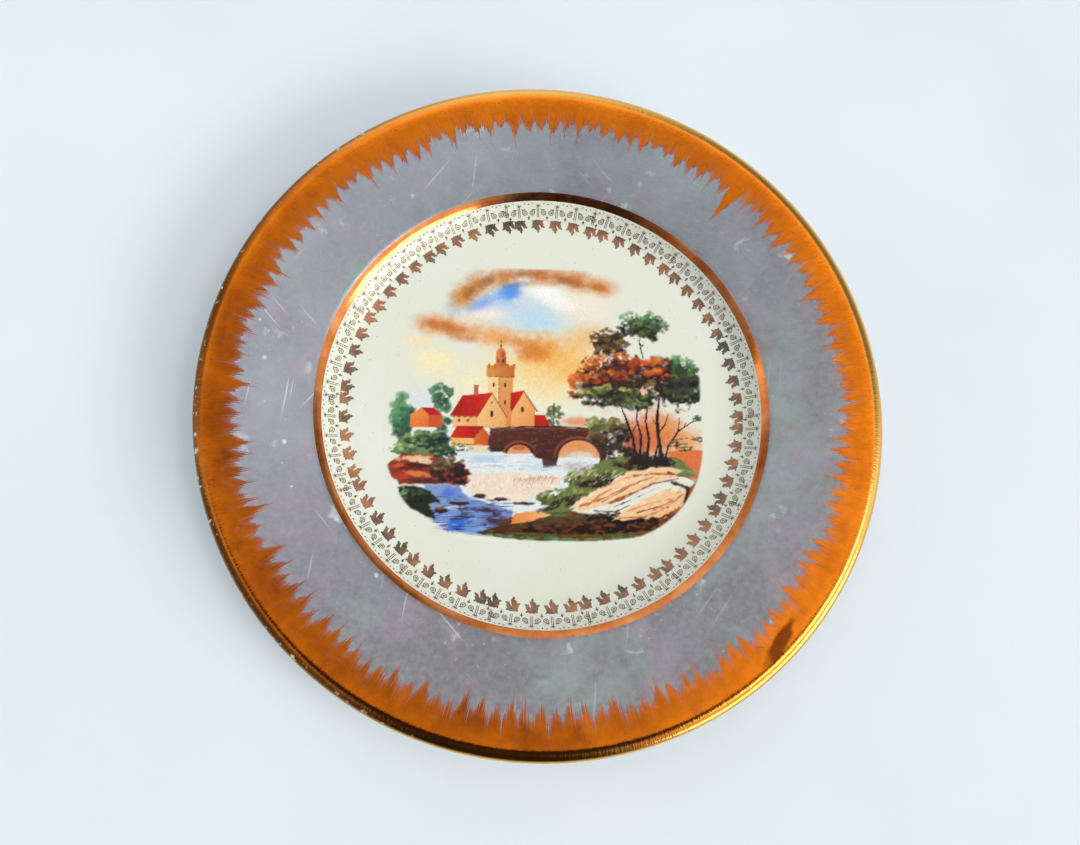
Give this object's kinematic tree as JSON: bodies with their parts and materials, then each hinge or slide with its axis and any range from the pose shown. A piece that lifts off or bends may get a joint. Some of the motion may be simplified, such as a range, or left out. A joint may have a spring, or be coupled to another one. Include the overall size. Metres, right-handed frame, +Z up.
{
  "type": "souvenir plate",
  "caption": "Round rimmed earthenware display plate with a brushed gold rim, a pearl lustre band, a gold verge line, a gold leaf border and a printed landscape.",
  "frame": {"origin": "centre of the foot ring's sole, where the plate stands on a table", "axes": "+Z up along the plate's axis; the landscape's top points to +Y"},
  "size_m": [0.267, 0.267, 0.024],
  "materials": {
    "biscuit": "matte unglazed biscuit",
    "ivory_glaze": "glossy ivory glaze",
    "bright_gold": "polished fired gold",
    "pearl_lustre": "glossy mottled pearl lustre",
    "brushed_gold": "brushed-on fired gold, worn at the lip",
    "print_gold": "matte printed gold",
    "enamel_print": "glossy multicolour enamel print"
  },
  "bodies": {
    "root": {"plate_body": "biscuit", "well_glaze": "ivory_glaze", "back_glaze": "ivory_glaze", "gold_verge_line": "bright_gold", "pearl_lustre_band": "pearl_lustre", "gold_rim_band": "brushed_gold", "border_print": "print_gold", "landscape_print": "enamel_print"}
  },
  "joints": []
}
